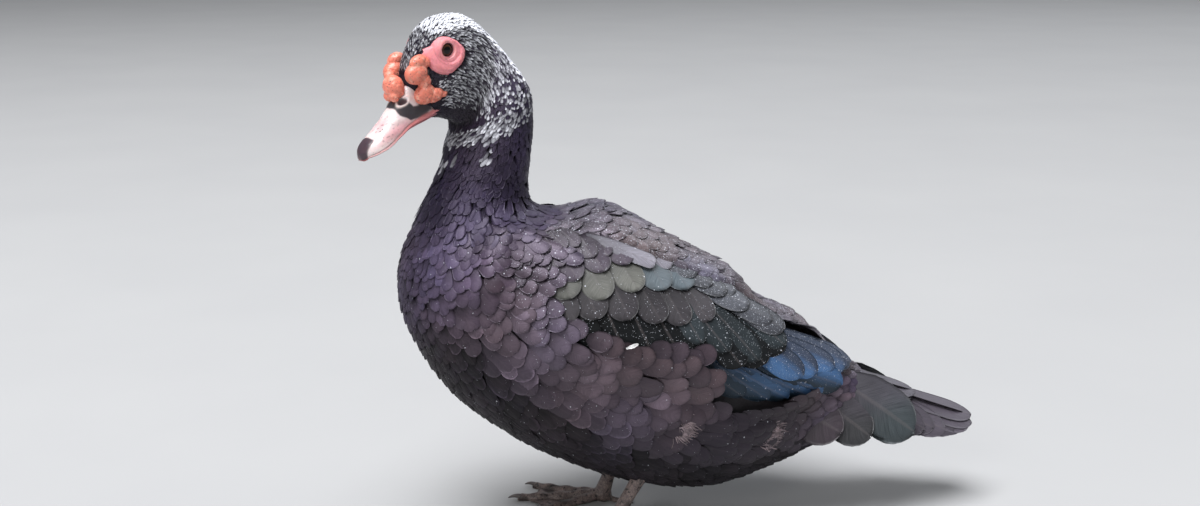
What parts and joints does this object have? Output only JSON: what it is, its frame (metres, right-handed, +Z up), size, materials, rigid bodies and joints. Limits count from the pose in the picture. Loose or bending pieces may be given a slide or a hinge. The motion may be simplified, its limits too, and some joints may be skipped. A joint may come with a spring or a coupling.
{
  "type": "muscovy duck",
  "caption": "Life-size standing muscovy duck, black plumage, folded wings, bare red face and knob over the bill, webbed feet",
  "frame": {"origin": "on the floor, under the middle of the whole duck", "axes": "-Y is the way the body faces, +X is the duck's left side, +Z is up"},
  "size_m": [0.2204, 0.5608, 0.4569],
  "materials": {
    "plumage": "black body feathers with a purple-brown gloss",
    "head_plumage": "black and white mottled head feathers",
    "wing_plumage": "black wing feathers with a green and blue gloss",
    "caruncle": "bare warty orange-red skin",
    "face_skin": "bare salmon-pink skin",
    "bill": "pinkish horn with dark patches",
    "claw_horn": "dark horn",
    "eye": "wet dark brown eye",
    "leg_skin": "scaled grey-brown skin"
  },
  "bodies": {
    "root": {"bill_lower": "bill", "bill_nail": "claw_horn", "bill_upper": "bill", "caruncle_knob": "caruncle", "caruncles_left": "caruncle", "caruncles_right": "caruncle", "eye_left": "eye", "eye_right": "eye", "face_patch_left": "face_skin", "face_patch_right": "face_skin", "foot_left": "leg_skin", "foot_right": "leg_skin", "head": "head_plumage", "neck": "plumage", "shank_left": "leg_skin", "shank_right": "leg_skin", "tail": "plumage", "torso": "plumage", "wing_left": "wing_plumage", "wing_right": "wing_plumage"}
  },
  "joints": []
}
